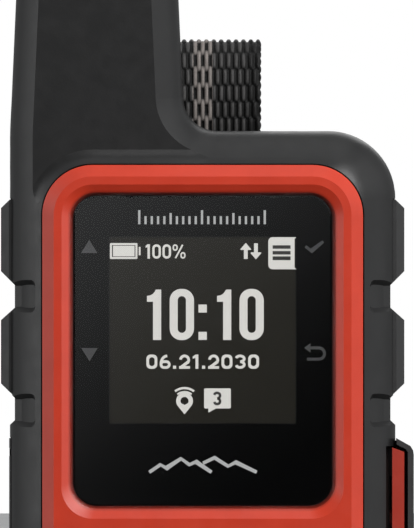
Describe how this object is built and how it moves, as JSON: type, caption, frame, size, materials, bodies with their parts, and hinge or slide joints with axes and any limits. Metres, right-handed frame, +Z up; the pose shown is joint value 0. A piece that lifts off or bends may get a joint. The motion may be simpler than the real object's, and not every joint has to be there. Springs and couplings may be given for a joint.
{
  "type": "handheld gps unit",
  "caption": "Pocket satellite GPS unit: black case with side keys, stub antenna, red bezel round a square display, covered distress key, port cover and a webbing hang loop.",
  "frame": {"origin": "middle of the flat foot the unit stands on, under the middle of its width", "axes": "+Z up towards the antenna, -Y out of the display towards the user, +X to the right seen from the front"},
  "size_m": [0.0518, 0.0315, 0.099],
  "materials": {
    "case_black": "fine moulded grain",
    "bezel_red": "satin",
    "key_black": "matt",
    "cover_black": "matt",
    "lens_glass": "gloss, clear",
    "mask_black": "printed film",
    "lcd_glass": "display face",
    "white_plastic": "satin",
    "clear_plastic": "clear",
    "adhesive_black": "foam tape",
    "frame_alloy": "die cast",
    "board_green": "solder mask",
    "flex_amber": "polyimide",
    "steel": "plated",
    "brass": "machined",
    "copper": "copper strip",
    "ceramic": "ceramic",
    "cell_wrap": "foil wrap",
    "chip_black": "epoxy",
    "wire_cover": "cable cover",
    "seal_grey": "silicone",
    "alu_black": "black anodised",
    "webbing": "woven webbing with a grey stripe"
  },
  "bodies": {
    "case": {"front_housing": "case_black", "rear_housing": "case_black", "housing_seal": "seal_grey", "bezel_frame": "bezel_red", "display_lens": "lens_glass", "lens_mask": "mask_black", "lens_adhesive": "adhesive_black", "lcd_panel": "lcd_glass", "lcd_backlight": "white_plastic", "lcd_flex": "flex_amber", "internal_frame": "frame_alloy", "main_board": "board_green", "shield_cans": "steel", "satellite_modem": "chip_black", "processor_chip": "chip_black", "battery_connector": "white_plastic", "buzzer": "chip_black", "board_screws": "steel", "battery_pack": "cell_wrap", "battery_pad": "adhesive_black", "battery_leads": "wire_cover", "satellite_antenna": "white_plastic", "antenna_arms": "copper", "antenna_feed_board": "board_green", "antenna_coax": "wire_cover", "antenna_bracket": "white_plastic", "gps_antenna": "ceramic", "key_flex_left": "flex_amber", "key_flex_right": "flex_amber", "key_switches_left": "steel", "key_switches_right": "steel", "power_switch": "steel", "status_light_pipe": "clear_plastic", "sos_surround": "bezel_red", "sos_switch": "steel", "sos_hinge_pin": "steel", "usb_socket": "steel", "usb_hinge_pin": "steel", "housing_screws": "steel", "vent_membrane": "white_plastic", "threaded_insert": "brass", "spine_adapter": "alu_black", "strap_bar": "steel"},
    "up_key": {"up_button": "key_black"},
    "down_key": {"down_button": "key_black"},
    "ok_key": {"ok_button": "key_black"},
    "back_key": {"back_button": "key_black"},
    "power_key": {"power_button": "key_black"},
    "sos_key": {"sos_button": "bezel_red"},
    "sos_lid": {"sos_cover": "cover_black"},
    "usb_lid": {"usb_cover": "cover_black"},
    "mount_screw": {"adapter_screw": "steel"},
    "mount_ring": {"screw_ring": "steel"},
    "strap": {"webbing_strap": "webbing"}
  },
  "joints": [
    {"name": "up_press", "type": "slide", "parent": "case", "child": "up_key", "axis": [1, 0, 0], "range_m": [0, 0.0004], "stiffness_N_per_m": 1200},
    {"name": "down_press", "type": "slide", "parent": "case", "child": "down_key", "axis": [1, 0, 0], "range_m": [0, 0.0004], "stiffness_N_per_m": 1200},
    {"name": "ok_press", "type": "slide", "parent": "case", "child": "ok_key", "axis": [-1, 0, 0], "range_m": [0, 0.0004], "stiffness_N_per_m": 1200},
    {"name": "back_press", "type": "slide", "parent": "case", "child": "back_key", "axis": [-1, 0, 0], "range_m": [0, 0.0004], "stiffness_N_per_m": 1200},
    {"name": "power_press", "type": "slide", "parent": "case", "child": "power_key", "axis": [0, 0, -1], "range_m": [0, 0.0004], "stiffness_N_per_m": 1200},
    {"name": "sos_press", "type": "slide", "parent": "case", "child": "sos_key", "axis": [-1, 0, 0], "range_m": [0, 0.0004], "stiffness_N_per_m": 1200},
    {"name": "sos_cover_hinge", "type": "hinge", "parent": "case", "child": "sos_lid", "pos_m": [0.0256, 0, 0.0073], "axis": [0, 1, 0], "range_deg": [0, 105]},
    {"name": "usb_cover_hinge", "type": "hinge", "parent": "case", "child": "usb_lid", "pos_m": [-0.0229, 0, 0.0083], "axis": [0, -1, 0], "range_deg": [0, 90]},
    {"name": "screw_turn", "type": "hinge", "parent": "case", "child": "mount_screw", "pos_m": [0, 0.015, 0.038], "axis": [0, 1, 0], "continuous": true},
    {"name": "ring_fold", "type": "hinge", "parent": "mount_screw", "child": "mount_ring", "pos_m": [0, 0.0197, 0.038], "axis": [1, 0, 0], "range_deg": [0, 170]},
    {"name": "strap_swing", "type": "hinge", "parent": "case", "child": "strap", "pos_m": [0, 0.0159, 0.059], "axis": [-1, 0, 0], "range_deg": [0, 75]}
  ]
}
